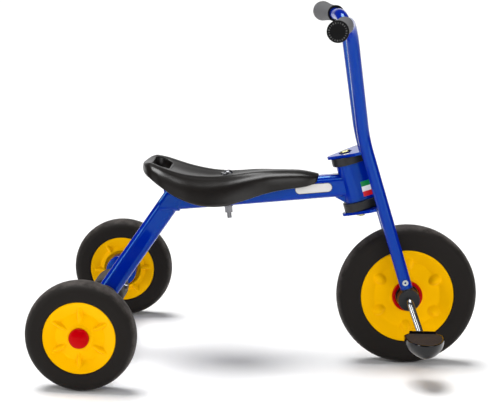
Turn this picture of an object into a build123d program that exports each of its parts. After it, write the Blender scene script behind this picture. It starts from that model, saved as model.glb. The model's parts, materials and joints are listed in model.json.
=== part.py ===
from build123d import *
from math import cos, radians, sin
import os

# Children's tricycle. Millimetres, +X forward, +Y to the rider's left, +Z up.
# The origin is on the floor, under the middle of the tricycle's box.

os.makedirs("parts", exist_ok=True)

# ---- driving dimensions ----
WHEELBASE = 544
TRACK = 486.5                # middle of one rear wheel to middle of the other
REAR_TYRE_R = 94.5
FRONT_TYRE_R = 125
TYRE_HALF = 25               # half the width of each tyre
RAKE = 16.64                 # the steering axis leans back by this, degrees
STEER = 5.2                  # the fork's turn to the left as the tricycle stands
FORK_OFFSET = 39.7           # front axle ahead of the steering axis
CRANK_ARM = 58
CRANK_TURN = 3               # right crank ahead of straight down the fork, degrees
RUN_GAP = 0.05               # radial clearance of every running fit
BODY_GAP = 0.5               # clearance between faces that move past each other
FIT_GAP = 0.1                # clearance between faces that are pushed together

REAR_X = -(WHEELBASE + FRONT_TYRE_R - REAR_TYRE_R) / 2
FRONT_X = REAR_X + WHEELBASE
FRONT_LIFT = 0.04            # raises the front axle, because the turned wheel leans
BIG = 400                    # longer than any cut has to be

# ---- places: each sub-part is drawn in one of these frames ----
rake_cos = cos(radians(RAKE))
rake_sin = sin(radians(RAKE))
steer_foot = Vector(
    FRONT_X - FORK_OFFSET * rake_cos, 0, FRONT_TYRE_R + FRONT_LIFT - FORK_OFFSET * rake_sin
)
HEAD = Plane(origin=steer_foot, x_dir=(rake_cos, 0, rake_sin), z_dir=(-rake_sin, 0, rake_cos))
steer_cos = cos(radians(STEER))
steer_sin = sin(radians(STEER))
FORK = Plane(
    origin=steer_foot,
    x_dir=(rake_cos * steer_cos, steer_sin, rake_sin * steer_cos),
    z_dir=(-rake_sin, 0, rake_cos),
)


def wheel_place(centre, side, turn):
    """A frame with Z out of the wheel's face on that side, and X turned up from forward."""
    forward = (cos(radians(turn)), 0, sin(radians(turn)))
    return Plane(origin=centre, x_dir=forward, z_dir=(0, side, 0)).location


def save(piece, name, place=Location()):
    """Put a finished piece in its place, name it and write its STEP."""
    piece = piece.moved(place)
    piece.label = name
    export_step(piece, f"parts/{name}.step")


SIDES = {"right": -1, "left": 1}

# ======================================================================
# Frame
# ======================================================================
MAIN_TALL = 40
MAIN_WIDE = 32
LEG_DEEP = 36.5
TUBE_CORNER = 11
TUBE_WALL = 2
MAIN_RISE = 6.83             # the main tube rises to the front, degrees
MAIN_START = Vector(REAR_X + 100, 0, 280.6)
MAIN_LENGTH = 370
LEG_LEAN = 33.5              # the rear leg leans forward from upright, degrees
LEG_FOOT = Vector(REAR_X - 2.7, 0, REAR_TYRE_R)
LEG_TOP = 316                # height where the rear leg is cut off, under the saddle
AXLE_TUBE_R = 17
AXLE_BORE_R = 6.1
AXLE_R = 6
AXLE_TUBE_HALF = 229
SHELL_R = 22
SHELL_NOSE_R = 16
SHELL_NOSE_X = 23
SHELL_WALL = 3
SHELL_LOW = 187.5
SHELL_HIGH = 255.5
STEER_BOLT_R = 5

main_plane = Plane(
    origin=MAIN_START,
    x_dir=(0, 1, 0),
    z_dir=(cos(radians(MAIN_RISE)), 0, sin(radians(MAIN_RISE))),
)
leg_plane = Plane(
    origin=LEG_FOOT,
    x_dir=(0, 1, 0),
    z_dir=(sin(radians(LEG_LEAN)), 0, cos(radians(LEG_LEAN))),
)

BOLT_R = 4
FRONT_BOLT_ALONG = 121       # along the main tube from its start
FRONT_BOLT_TOP = 36.4        # the front bolt's head above the main tube's middle
REAR_BOLT_X = REAR_X + 150
REAR_BOLT_TOP = 325.2
REAR_SPACER_TOP = 323.5
bolt_plane = Plane(
    origin=MAIN_START + main_plane.z_dir * FRONT_BOLT_ALONG,
    x_dir=(0, 1, 0),
    z_dir=(-sin(radians(MAIN_RISE)), 0, cos(radians(MAIN_RISE))),
)

# Whole shapes that other pieces are cut back from, so that welded pieces meet face to face.
with BuildPart() as leg_outside:
    with BuildSketch(leg_plane):
        RectangleRounded(MAIN_WIDE, LEG_DEEP, TUBE_CORNER)
    extrude(amount=BIG)

with BuildPart() as axle_outside:
    with BuildSketch(Plane.XZ):
        with Locations((REAR_X, REAR_TYRE_R)):
            Circle(AXLE_TUBE_R)
    extrude(amount=AXLE_TUBE_HALF, both=True)

with BuildPart() as shell_outside:
    with BuildSketch(HEAD.offset(SHELL_LOW)):
        Circle(SHELL_R)
        with Locations((SHELL_NOSE_X, 0)):
            Circle(SHELL_NOSE_R)
        make_hull()
    extrude(amount=SHELL_HIGH - SHELL_LOW)

with BuildPart() as main_tube:
    with BuildSketch(main_plane):
        RectangleRounded(MAIN_WIDE, MAIN_TALL, TUBE_CORNER)
        offset(amount=-TUBE_WALL, mode=Mode.SUBTRACT)
    extrude(amount=MAIN_LENGTH)
    add(leg_outside.part, mode=Mode.SUBTRACT)
    add(shell_outside.part, mode=Mode.SUBTRACT)
    with BuildSketch(bolt_plane):
        Circle(BOLT_R + FIT_GAP)
    extrude(amount=MAIN_TALL, both=True, mode=Mode.SUBTRACT)
main_tube_body = main_tube.part.solids().sort_by(SortBy.VOLUME)[-1]

with BuildPart() as rear_leg:
    with BuildSketch(leg_plane):
        RectangleRounded(MAIN_WIDE, LEG_DEEP, TUBE_CORNER)
        offset(amount=-TUBE_WALL, mode=Mode.SUBTRACT)
    extrude(amount=BIG)
    add(axle_outside.part, mode=Mode.SUBTRACT)
    split(bisect_by=Plane.XY.offset(LEG_TOP), keep=Keep.BOTTOM)
rear_leg_body = rear_leg.part.solids().sort_by(SortBy.VOLUME)[-1]

with BuildPart() as axle_tube:
    with BuildSketch(Plane.XZ):
        with Locations((REAR_X, REAR_TYRE_R)):
            Circle(AXLE_TUBE_R)
            Circle(AXLE_BORE_R, mode=Mode.SUBTRACT)
    extrude(amount=AXLE_TUBE_HALF, both=True)

with BuildPart() as head_shell:
    add(shell_outside.part)
    with BuildSketch(HEAD.offset(SHELL_LOW)):
        Circle(SHELL_R - SHELL_WALL)
        with Locations((SHELL_NOSE_X, 0)):
            Circle(SHELL_NOSE_R - SHELL_WALL)
        make_hull()
    extrude(amount=SHELL_HIGH - SHELL_LOW, mode=Mode.SUBTRACT)

save(Part(main_tube_body.wrapped), "main_tube")
save(Part(rear_leg_body.wrapped), "rear_leg")
save(axle_tube.part, "axle_tube")
save(head_shell.part, "head_shell")

# Bead of weld round the back of the main tube, where it meets the rear leg.
BEAD_GROW = 2.5
with BuildPart() as leg_weld:
    with BuildSketch(main_plane):
        RectangleRounded(MAIN_WIDE + 2 * BEAD_GROW, MAIN_TALL + 2 * BEAD_GROW, TUBE_CORNER + 2)
        RectangleRounded(MAIN_WIDE, MAIN_TALL, TUBE_CORNER, mode=Mode.SUBTRACT)
    extrude(amount=BIG)
    add(leg_outside.part, mode=Mode.SUBTRACT)
    with BuildSketch(leg_plane):
        RectangleRounded(MAIN_WIDE + 2 * BEAD_GROW, LEG_DEEP + 4 * BEAD_GROW, TUBE_CORNER + 4)
    extrude(amount=BIG, mode=Mode.INTERSECT)
leg_weld_body = leg_weld.part.solids().sort_by(Axis.X)[-1]
save(Part(leg_weld_body.wrapped), "leg_weld")

# Flared weld gusset under the main tube at the head.
GUSSET_HALF = 7
with BuildPart() as head_gusset:
    with BuildSketch(Plane.XZ):
        with BuildLine():
            Polyline(
                (REAR_X + 404, 302),
                (REAR_X + 440, 306),
                (REAR_X + 452, 287),
                (REAR_X + 433, 287),
                close=True,
            )
        make_face()
    extrude(amount=GUSSET_HALF, both=True)
    add(shell_outside.part, mode=Mode.SUBTRACT)
    with BuildSketch(main_plane):
        RectangleRounded(MAIN_WIDE, MAIN_TALL, TUBE_CORNER)
    extrude(amount=BIG, mode=Mode.SUBTRACT)
head_gusset_body = head_gusset.part.solids().sort_by(SortBy.VOLUME)[-1]
save(Part(head_gusset_body.wrapped), "head_gusset")

# Black bearing collars: a lip that overhangs the shell, and a plug inside it.
COLLAR_LIP = 5.5
PLUG_LONG = 12
PLATE_THICK = 5
TOP_PLATE_LOW = 270.5
BOTTOM_PLATE_HIGH = 171
collars = {
    "upper_collar": (SHELL_HIGH, TOP_PLATE_LOW - BODY_GAP, SHELL_HIGH - PLUG_LONG),
    "lower_collar": (BOTTOM_PLATE_HIGH + BODY_GAP, SHELL_LOW, SHELL_LOW),
}
for name, (low, high, plug_low) in collars.items():
    with BuildPart() as collar:
        with BuildSketch(Plane.XY.offset(low)):
            Circle(SHELL_R + COLLAR_LIP)
            with Locations((SHELL_NOSE_X - 2, 0)):
                Circle(SHELL_NOSE_R + COLLAR_LIP - 1)
            make_hull()
        extrude(amount=high - low)
        fillet(collar.edges().filter_by(Plane.XY), 1.5)
        with BuildSketch(Plane.XY.offset(plug_low)):
            Circle(SHELL_R - SHELL_WALL - FIT_GAP)
            with Locations((SHELL_NOSE_X, 0)):
                Circle(SHELL_NOSE_R - SHELL_WALL - FIT_GAP)
            make_hull()
        extrude(amount=PLUG_LONG)
        with BuildSketch(Plane.XY):
            Circle(STEER_BOLT_R + RUN_GAP)
        extrude(amount=BIG, mode=Mode.SUBTRACT)
    save(collar.part, name, HEAD.location)

# Rear axle assembly. The flange is a cup round each end of the axle tube, open to the wheel.
FLANGE_R = 29
FLANGE_THICK = 3
FLANGE_DEEP = 24
FLANGE_ROUND = 2.5
SLEEVE_R = 31
SLEEVE_FROM = 20
SLEEVE_TO = 98
REAR_HUB_HALF = 19           # rear hub's outer end, from the wheel's middle
REAR_HUB_IN = 12             # rear hub's inner end, inside the recess round the flange
WASHER_THICK = 1
NUT_ACROSS = 19
NUT_THICK = 5.5
WASHER_R = 12
HUB_END = TRACK / 2 + REAR_HUB_HALF
NUT_START = HUB_END + BODY_GAP + WASHER_THICK
REAR_AXLE_HALF = NUT_START + NUT_THICK + 0.5
for side, sign in SIDES.items():
    end = wheel_place((REAR_X, sign * AXLE_TUBE_HALF, REAR_TYRE_R), sign, 0)
    with BuildPart() as flange:
        with BuildSketch(Plane.XY.offset(-FLANGE_DEEP)):
            Circle(FLANGE_R)
            Circle(AXLE_TUBE_R + FIT_GAP, mode=Mode.SUBTRACT)
        extrude(amount=FLANGE_DEEP)
        closed_side = flange.edges().filter_by(GeomType.CIRCLE).group_by(Axis.Z)[0]
        fillet(closed_side.sort_by(SortBy.RADIUS)[-1], FLANGE_ROUND)
        with BuildSketch(Plane.XY):
            Circle(FLANGE_R - FLANGE_THICK)
        extrude(amount=FLANGE_THICK - FLANGE_DEEP, mode=Mode.SUBTRACT)
    save(flange.part, f"axle_flange_{side}", end)

    start = wheel_place((REAR_X, sign * SLEEVE_FROM, REAR_TYRE_R), sign, 0)
    with BuildPart() as sleeve:
        Cylinder(SLEEVE_R, SLEEVE_TO - SLEEVE_FROM, align=(Align.CENTER, Align.CENTER, Align.MIN))
        Hole(AXLE_TUBE_R + FIT_GAP)
        fillet(sleeve.edges().filter_by(GeomType.CIRCLE).sort_by(SortBy.RADIUS)[-2:], 2.5)
        with BuildSketch(Plane.XY.offset(6)):
            Circle(SLEEVE_R)
            Circle(SLEEVE_R - 2, mode=Mode.SUBTRACT)
        extrude(amount=3, mode=Mode.SUBTRACT)
    save(sleeve.part, f"axle_sleeve_{side}", start)

with BuildPart() as rear_axle:
    with BuildSketch(Plane.XZ):
        with Locations((REAR_X, REAR_TYRE_R)):
            Circle(AXLE_R)
    extrude(amount=REAR_AXLE_HALF, both=True)
    chamfer(rear_axle.edges().filter_by(GeomType.CIRCLE), 1)
save(rear_axle.part, "rear_axle")

with BuildPart() as axle_washers:
    for sign in SIDES.values():
        for at in (TRACK / 2 - REAR_HUB_IN - BODY_GAP - WASHER_THICK, HUB_END + BODY_GAP):
            with BuildSketch(Plane.XZ.offset(-sign * at)):
                with Locations((REAR_X, REAR_TYRE_R)):
                    Circle(WASHER_R)
                    Circle(AXLE_R + FIT_GAP, mode=Mode.SUBTRACT)
            extrude(amount=-sign * WASHER_THICK)
save(axle_washers.part, "axle_washers")

with BuildPart() as axle_nuts:
    for sign in SIDES.values():
        with BuildSketch(Plane.XZ.offset(-sign * NUT_START)):
            with Locations((REAR_X, REAR_TYRE_R)):
                RegularPolygon(NUT_ACROSS / 2, 6, major_radius=False)
                Circle(AXLE_R + FIT_GAP, mode=Mode.SUBTRACT)
        extrude(amount=-sign * NUT_THICK)
save(axle_nuts.part, "axle_nuts")

# Clamp screw with its washer, at the front of the right-hand sleeve.
SCREW_AT = Plane(origin=(REAR_X + SLEEVE_R - 2, 60, REAR_TYRE_R + 6), z_dir=(1, 0, 0.15))
with BuildPart() as sleeve_screw:
    with BuildSketch(Plane.XY):
        Circle(7)
    extrude(amount=1.5)
    with BuildSketch(Plane.XY.offset(1.5)):
        Circle(5)
    extrude(amount=4)
    with BuildSketch(Plane.XY.offset(5.5)):
        RegularPolygon(2.5, 6)
    extrude(amount=-2.5, mode=Mode.SUBTRACT)
with BuildPart() as sleeve_outside:
    with BuildSketch(Plane.XZ.offset(-SLEEVE_TO)):
        with Locations((REAR_X, REAR_TYRE_R)):
            Circle(SLEEVE_R)
    extrude(amount=SLEEVE_TO)
screw_whole = sleeve_screw.part.moved(SCREW_AT.location)
with BuildPart() as sleeve_screw_cut:
    add(screw_whole)
    add(sleeve_outside.part, mode=Mode.SUBTRACT)
save(sleeve_screw_cut.part, "sleeve_screw")

# ======================================================================
# Saddle
# ======================================================================
# Each row: distance ahead of the rear axle, then half-width and height of the lower edge,
# half-width and height of the raised crest, and height at the middle.
SADDLE_ROWS = [
    (72, 36, 340, 20, 350, 350),
    (86, 66, 336, 42, 354, 353),
    (110, 84, 323, 52, 347, 343),
    (150, 95, 303, 50, 336, 330),
    (190, 90, 292, 38, 331, 326.5),
    (225, 74, 291, 26, 332, 330.5),
    (260, 52, 299, 18, 336.5, 337),
    (300, 36, 310, 14, 340, 341.5),
    (345, 29, 318, 12, 341, 343),
    (364, 25, 321, 11, 338.5, 340.5),
    (376, 19, 325.5, 8, 337.2, 338.8),
    (382, 12, 330.5, 5, 336.4, 337.6),
]
SADDLE_SKIN = 4.2
HOLD_X = 103.5               # middle of the hand hold, ahead of the rear axle
HOLD_LONG = 29
HOLD_WIDE = 76
HOLD_LIP = 3                 # thickness of the wall round the hand hold
HOLD_LIP_LOW = 326           # height of that wall's lower edge



def saddle_top(edge, edge_z, crest, crest_z, mid_z):
    """The upper line of one saddle section, and its shoulder point."""
    shoulder = (edge + crest) / 2 + 0.12 * (edge - crest)
    shoulder_z = edge_z + 0.72 * (crest_z - edge_z)
    Spline(
        (-edge, edge_z),
        (-shoulder, shoulder_z),
        (-crest, crest_z),
        (0, mid_z),
        (crest, crest_z),
        (shoulder, shoulder_z),
        (edge, edge_z),
    )
    return shoulder, shoulder_z


# A wall hangs from the saddle round the hand hold. The space under the skin trims its top.
with BuildPart() as hold_wall:
    for x, edge, edge_z, crest, crest_z, mid_z in SADDLE_ROWS[:5]:
        with BuildSketch(Plane(origin=(REAR_X + x, 0, 0), x_dir=(0, 1, 0), z_dir=(1, 0, 0))):
            with BuildLine():
                saddle_top(edge, edge_z - 1, crest, crest_z - 1, mid_z - 1)
                Polyline((edge, edge_z - 1), (edge, 270), (-edge, 270), (-edge, edge_z - 1))
            make_face()
    loft()
    with BuildSketch(Plane.XY.offset(HOLD_LIP_LOW)):
        with Locations((REAR_X + HOLD_X, 0)):
            SlotOverall(HOLD_WIDE + 2 * HOLD_LIP, HOLD_LONG + 2 * HOLD_LIP, rotation=90)
    extrude(amount=BIG, mode=Mode.INTERSECT)

with BuildPart() as saddle:
    for x, edge, edge_z, crest, crest_z, mid_z in SADDLE_ROWS:
        with BuildSketch(Plane(origin=(REAR_X + x, 0, 0), x_dir=(0, 1, 0), z_dir=(1, 0, 0))):
            with BuildLine():
                shoulder, shoulder_z = saddle_top(edge, edge_z, crest, crest_z, mid_z)
                Spline(
                    (edge - SADDLE_SKIN, edge_z),
                    (shoulder - SADDLE_SKIN * 0.75, shoulder_z - SADDLE_SKIN * 0.75),
                    (crest - 1.5, crest_z - SADDLE_SKIN),
                    (0, mid_z - SADDLE_SKIN),
                    (1.5 - crest, crest_z - SADDLE_SKIN),
                    (SADDLE_SKIN * 0.75 - shoulder, shoulder_z - SADDLE_SKIN * 0.75),
                    (SADDLE_SKIN - edge, edge_z),
                )
                Line((edge, edge_z), (edge - SADDLE_SKIN, edge_z))
                Line((SADDLE_SKIN - edge, edge_z), (-edge, edge_z))
            make_face()
    loft()
    add(hold_wall.part)
    with BuildSketch(main_plane):
        RectangleRounded(MAIN_WIDE + 2 * BODY_GAP, MAIN_TALL + 2 * BODY_GAP, TUBE_CORNER)
    extrude(amount=MAIN_LENGTH, mode=Mode.SUBTRACT)
    with BuildSketch(Plane.XY.offset(300)):
        with Locations((REAR_X + HOLD_X, 0)):
            SlotOverall(HOLD_WIDE, HOLD_LONG, rotation=90)
    extrude(amount=80, mode=Mode.SUBTRACT)
    with BuildSketch(bolt_plane):
        Circle(BOLT_R + FIT_GAP)
    extrude(amount=MAIN_TALL, mode=Mode.SUBTRACT)
save(saddle.part, "saddle")

# Saddle fixings: a front bolt down through the main tube, and a rear screw up from the plate.
with BuildPart() as saddle_bolts:
    with BuildSketch(bolt_plane.offset(FRONT_BOLT_TOP)):
        Circle(8)
    extrude(amount=3)
    fillet(saddle_bolts.edges().group_by(Axis.Z)[-1], 2)
    with BuildSketch(bolt_plane.offset(-43)):
        Circle(BOLT_R)
    extrude(amount=43 + FRONT_BOLT_TOP)
    with BuildSketch(Plane.XY.offset(LEG_TOP - 8)):
        with Locations((REAR_BOLT_X, 0)):
            Circle(BOLT_R)
    extrude(amount=REAR_BOLT_TOP - LEG_TOP + 8)
save(saddle_bolts.part, "saddle_bolts")

# The spacers stand between the saddle and the tubes; the saddle's own shape trims them.
with BuildPart() as spacers:
    with BuildSketch(bolt_plane.offset(MAIN_TALL / 2)):
        Circle(13)
        Circle(BOLT_R + FIT_GAP, mode=Mode.SUBTRACT)
    extrude(amount=FRONT_BOLT_TOP - MAIN_TALL / 2 - SADDLE_SKIN - 3.2)
    with BuildSketch(Plane.XY.offset(LEG_TOP + PLATE_THICK)):
        with Locations((REAR_BOLT_X, 0)):
            Circle(13)
            Circle(BOLT_R + FIT_GAP, mode=Mode.SUBTRACT)
    extrude(amount=REAR_SPACER_TOP - LEG_TOP - PLATE_THICK)
save(spacers.part, "saddle_spacers")

with BuildPart() as saddle_plate:
    with BuildSketch(Plane.XY.offset(LEG_TOP)):
        with Locations((REAR_X + 146, 0)):
            RectangleRounded(62, 44, 8)
        with Locations((REAR_BOLT_X, 0)):
            Circle(BOLT_R + FIT_GAP, mode=Mode.SUBTRACT)
    extrude(amount=PLATE_THICK)
save(saddle_plate.part, "saddle_plate")

with BuildPart() as saddle_nuts:
    with BuildSketch(bolt_plane.offset(-MAIN_TALL / 2)):
        Circle(9)
        Circle(BOLT_R + FIT_GAP, mode=Mode.SUBTRACT)
    extrude(amount=-1.6)
    with BuildSketch(bolt_plane.offset(-MAIN_TALL / 2 - 1.6)):
        RegularPolygon(6.5, 6, major_radius=False)
        Circle(BOLT_R + FIT_GAP, mode=Mode.SUBTRACT)
    extrude(amount=-11)
    with BuildSketch(Plane.XY.offset(LEG_TOP)):
        with Locations((REAR_BOLT_X, 0)):
            RegularPolygon(6.5, 6, major_radius=False)
            Circle(BOLT_R + FIT_GAP, mode=Mode.SUBTRACT)
    extrude(amount=-6)
save(saddle_nuts.part, "saddle_nuts")

# Blank oval badge on each side of the main tube.
BADGE_LONG = 66
BADGE_TALL = 17
BADGE_THICK = 0.6
with BuildPart() as badges:
    for sign in SIDES.values():
        face = Plane(
            origin=MAIN_START + main_plane.z_dir * 276 + Vector(0, sign * MAIN_WIDE / 2, 0),
            x_dir=main_plane.z_dir,
            z_dir=(0, sign, 0),
        )
        with BuildSketch(face):
            SlotOverall(BADGE_LONG, BADGE_TALL)
        extrude(amount=BADGE_THICK)
save(badges.part, "name_badges")

# ======================================================================
# Fork: drawn in the fork's own frame, Z up the steering axis, X forward, Y left
# ======================================================================
TUBE_R = 11
TUBE_BORE_R = 9
LEG_HALF = 43                # fork leg's middle from the middle of the tricycle
LEG_LOW = (41.2, 20)         # forward and up, at the fork leg's lower end
LEG_BEND = (35.5, 294)
BAR_BEND_SIDE = 68.5         # each tube turns out to its grip this far from the middle
GRIP_INNER = Vector(51.6, 138, 503.2)
GRIP_OUTER = Vector(32.1, 245, 506.3)
GRIP_WALL_END = 4
LEG_BEND_R = 250
BAR_BEND_R = 48
GRIP_END_R = 18.3
GRIP_WAIST_R = 14.6
GRIP_INNER_R = 15.2

grip_long = (GRIP_OUTER - GRIP_INNER).length
grip_way = (GRIP_OUTER - GRIP_INNER).normalized()
tube_end = GRIP_OUTER - grip_way * GRIP_WALL_END
bar_bend = GRIP_INNER - grip_way * ((GRIP_INNER.Y - BAR_BEND_SIDE) / grip_way.Y)
fork_rods = {}                # the tubes as if solid, to cut other pieces back from
for side, sign in SIDES.items():
    with BuildPart() as fork_tube:
        with BuildLine() as route:
            FilletPolyline(
                (LEG_LOW[0], sign * LEG_HALF, LEG_LOW[1]),
                (LEG_BEND[0], sign * LEG_HALF, LEG_BEND[1]),
                (bar_bend.X, sign * bar_bend.Y, bar_bend.Z),
                (tube_end.X, sign * tube_end.Y, tube_end.Z),
                radius=[LEG_BEND_R, BAR_BEND_R],
            )
        with BuildSketch(Plane(origin=route.line @ 0, z_dir=route.line % 0)):
            Circle(TUBE_R)
        sweep(path=route.wire())
        fork_rods[side] = fork_tube.part.moved(Location())
        with BuildSketch(Plane(origin=route.line @ 0, z_dir=route.line % 0)):
            Circle(TUBE_BORE_R)
        sweep(path=route.wire(), mode=Mode.SUBTRACT)
    save(fork_tube.part, f"fork_tube_{side}", FORK.location)

    inner = Vector(GRIP_INNER.X, sign * GRIP_INNER.Y, GRIP_INNER.Z)
    outer = Vector(GRIP_OUTER.X, sign * GRIP_OUTER.Y, GRIP_OUTER.Z)
    grip_place = Plane(origin=inner, z_dir=outer - inner).location
    with BuildPart() as grip:
        with BuildSketch(Plane.XZ):
            with BuildLine():
                Polyline(
                    (0, grip_long - GRIP_WALL_END + FIT_GAP),
                    (TUBE_R + RUN_GAP, grip_long - GRIP_WALL_END + FIT_GAP),
                    (TUBE_R + RUN_GAP, 0),
                    (GRIP_INNER_R, 0),
                    (GRIP_INNER_R, 5),
                )
                Spline(
                    (GRIP_INNER_R, 5),
                    (GRIP_WAIST_R, 30),
                    (GRIP_WAIST_R + 0.6, 60),
                    (GRIP_END_R, grip_long - 14),
                    tangents=[(0, 1), (0.12, 1)],
                )
                Polyline(
                    (GRIP_END_R, grip_long - 14),
                    (GRIP_END_R, grip_long),
                    (0, grip_long),
                    (0, grip_long - GRIP_WALL_END + FIT_GAP),
                )
            make_face()
        revolve(axis=Axis.Z)
        fillet(grip.edges().filter_by(GeomType.CIRCLE).sort_by(Axis.Z)[-1], 2.2)
    save(grip.part, f"grip_{side}", FORK.location * grip_place)

# Crown plates, coped round the fork legs.
PLATE_REAR = -33
PLATE_TIP_R = 11
PLATE_FRONT = 30
STEER_BOLT_HEAD = 16
for name, low in (("top_plate", TOP_PLATE_LOW), ("bottom_plate", BOTTOM_PLATE_HIGH - PLATE_THICK)):
    with BuildPart() as plate:
        with BuildSketch(Plane.XY.offset(low)):
            with Locations((PLATE_REAR + PLATE_TIP_R, 0)):
                Circle(PLATE_TIP_R)
            with BuildLine():
                Polyline(
                    (14, -40), (26, -43), (PLATE_FRONT, -30), (PLATE_FRONT, 30), (26, 43), (14, 40),
                    close=True,
                )
            make_face()
            make_hull()
        extrude(amount=PLATE_THICK)
        fillet(plate.edges().group_by(Axis.Z)[-1], 1.2)
        with BuildSketch(Plane.XY):
            Circle(STEER_BOLT_R + FIT_GAP)
        extrude(amount=BIG, mode=Mode.SUBTRACT)
        for rod in fork_rods.values():
            add(rod, mode=Mode.SUBTRACT)
        if name == "top_plate":
            with BuildSketch(Plane.XY.offset(low + PLATE_THICK)):
                Circle(12)
            extrude(amount=-2.2, mode=Mode.SUBTRACT)
    save(plate.part, name, FORK.location)

with BuildPart() as steering_bolt:
    with BuildSketch(Plane.XY.offset(TOP_PLATE_LOW + PLATE_THICK - 2.2)):
        RegularPolygon(STEER_BOLT_HEAD / 2, 6, major_radius=False)
    extrude(amount=5)
    chamfer(steering_bolt.edges().group_by(Axis.Z)[-1], 0.8)
    with BuildSketch(Plane.XY.offset(BOTTOM_PLATE_HIGH - PLATE_THICK - 8)):
        Circle(STEER_BOLT_R)
    extrude(amount=TOP_PLATE_LOW + PLATE_THICK - 2.2 - BOTTOM_PLATE_HIGH + PLATE_THICK + 8)
save(steering_bolt.part, "steering_bolt", FORK.location)

with BuildPart() as steering_nut:
    with BuildSketch(Plane.XY.offset(BOTTOM_PLATE_HIGH - PLATE_THICK)):
        RegularPolygon(8, 6, major_radius=False)
        Circle(STEER_BOLT_R + FIT_GAP, mode=Mode.SUBTRACT)
    extrude(amount=-6)
    chamfer(steering_nut.edges().group_by(Axis.Z)[0].filter_by(GeomType.LINE), 0.8)
save(steering_nut.part, "steering_nut", FORK.location)

# Bearing blocks: a round boss that the crankshaft turns in, and a spigot up inside the leg.
CRANK_R = 6
BLOCK_R = 19.3
BLOCK_IN = 31
BLOCK_OUT = 57
SPIGOT_TOP = 46
SCREW_UP = 32                # the fork screw above the front axle, along the leg
leg_way = Vector(LEG_BEND[0] - LEG_LOW[0], 0, LEG_BEND[1] - LEG_LOW[1]).normalized()
for side, sign in SIDES.items():
    with BuildPart() as block:
        with BuildSketch(Plane.XZ.offset(-sign * BLOCK_IN)):
            with Locations((FORK_OFFSET, 0)):
                Circle(BLOCK_R)
        extrude(amount=-sign * (BLOCK_OUT - BLOCK_IN))
        fillet(block.edges().filter_by(GeomType.CIRCLE), 1.5)
        neck = Plane(origin=(LEG_LOW[0], sign * LEG_HALF, LEG_LOW[1]), z_dir=leg_way)
        with BuildSketch(neck.offset(-12)):
            Circle(TUBE_R)
        extrude(amount=12)
        with BuildSketch(neck):
            Circle(TUBE_BORE_R - FIT_GAP)
        extrude(amount=SPIGOT_TOP - LEG_LOW[1])
        with BuildSketch(Plane.XZ):
            with Locations((FORK_OFFSET, 0)):
                Circle(CRANK_R + RUN_GAP)
        extrude(amount=BIG / 2, both=True, mode=Mode.SUBTRACT)
    save(block.part, f"bearing_block_{side}", FORK.location)

with BuildPart() as fork_screws:
    for sign in SIDES.values():
        with BuildSketch(Plane.XZ.offset(-sign * (LEG_HALF + TUBE_R - 0.4))):
            with Locations((LEG_LOW[0] - 0.2, SCREW_UP)):
                Circle(5.2)
                RegularPolygon(2, 6, mode=Mode.SUBTRACT)
        extrude(amount=-sign * 2.6)
    for rod in fork_rods.values():
        add(rod, mode=Mode.SUBTRACT)
save(fork_screws.part, "fork_screws", FORK.location)

# ======================================================================
# Wheels: each drawn round its own Z, which points out of the wheel's face
# ======================================================================
def tyre(outer_r, seat_r, face):
    """A solid rubber ring with round shoulders, seated on the rim of the two disc halves."""
    with BuildPart() as ring:
        with BuildSketch(Plane.XZ):
            with BuildLine():
                Polyline((seat_r - 2, -12), (seat_r - 2, 12), (seat_r + 0.2, 14), (seat_r + 0.2, face))
                Spline(
                    (seat_r + 0.2, face),
                    (seat_r + 5, TYRE_HALF - 0.6),
                    (outer_r - 13, TYRE_HALF - 0.7),
                    (outer_r - 3.2, 15.5),
                    (outer_r, 0),
                    tangents=[(0.7, 1), (0, -1)],
                )
                Spline(
                    (outer_r, 0),
                    (outer_r - 3.2, -15.5),
                    (outer_r - 13, 0.7 - TYRE_HALF),
                    (seat_r + 5, 0.6 - TYRE_HALF),
                    (seat_r + 0.2, -face),
                    tangents=[(0, -1), (-0.7, 1)],
                )
                Polyline((seat_r + 0.2, -face), (seat_r + 0.2, -14), (seat_r - 2, -12))
            make_face()
        revolve(axis=Axis.Z)
    return ring.part


def disc_half(face_points, skin, rim_r, bore_r, boss):
    """Half of a moulded wheel disc: a dished skin with a rim, a hub and six bosses."""
    boss_from, boss_to, boss_r, boss_high, boss_low = boss
    back_points = [(r, z - skin) for r, z in face_points]
    hub_r, hub_face = face_points[0]
    rim_face = face_points[-1][1]
    with BuildPart() as half:
        with BuildSketch(Plane.XZ):
            with BuildLine():
                Line((bore_r, 0.2), (bore_r, hub_face))
                Line((bore_r, hub_face), (hub_r, hub_face))
                Spline(*face_points)
                Polyline((face_points[-1]), (rim_r, rim_face - 1.5), (rim_r, 14), (rim_r - 2.2, 11.8))
                Polyline((rim_r - 2.2, 11.8), (rim_r - 2.2, 0.2), (rim_r - 2.2 - skin, 0.2))
                Line((rim_r - 2.2 - skin, 0.2), back_points[-1])
                Spline(*reversed(back_points))
                Polyline(back_points[0], (hub_r, 0.2), (bore_r, 0.2))
            make_face()
        revolve(axis=Axis.Z)
        with BuildSketch(Plane.XY.offset(boss_low)):
            with PolarLocations(0, 6):
                with Locations((boss_from, 0)):
                    Circle(boss_r)
                with Locations((boss_to, 0)):
                    Circle(boss_r * 0.35)
                with Locations(((boss_from + boss_to) / 2, 0)):
                    Rectangle(boss_to - boss_from, boss_r * 0.7)
        extrude(amount=boss_high - boss_low)
    return half.part


REAR_SEAT_R = 61.7
FRONT_SEAT_R = 82.4
HUB_R = 22
rear_face = [(HUB_R, REAR_HUB_HALF), (30, 17), (40, 13), (50, 16.5), (60.5, 21.1)]
rear_inner_face = [(37, 17.5), (43, 14.5), (52, 17), (60.5, 21.1)]
front_face = [(HUB_R + 6, 18), (40, 15), (54, 13), (68, 17.5), (81, 22.3)]
rear_boss = (32, 49, 4.5, 18, 10.5)
front_boss = (44, 66, 7, 17.5, 10.5)

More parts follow.
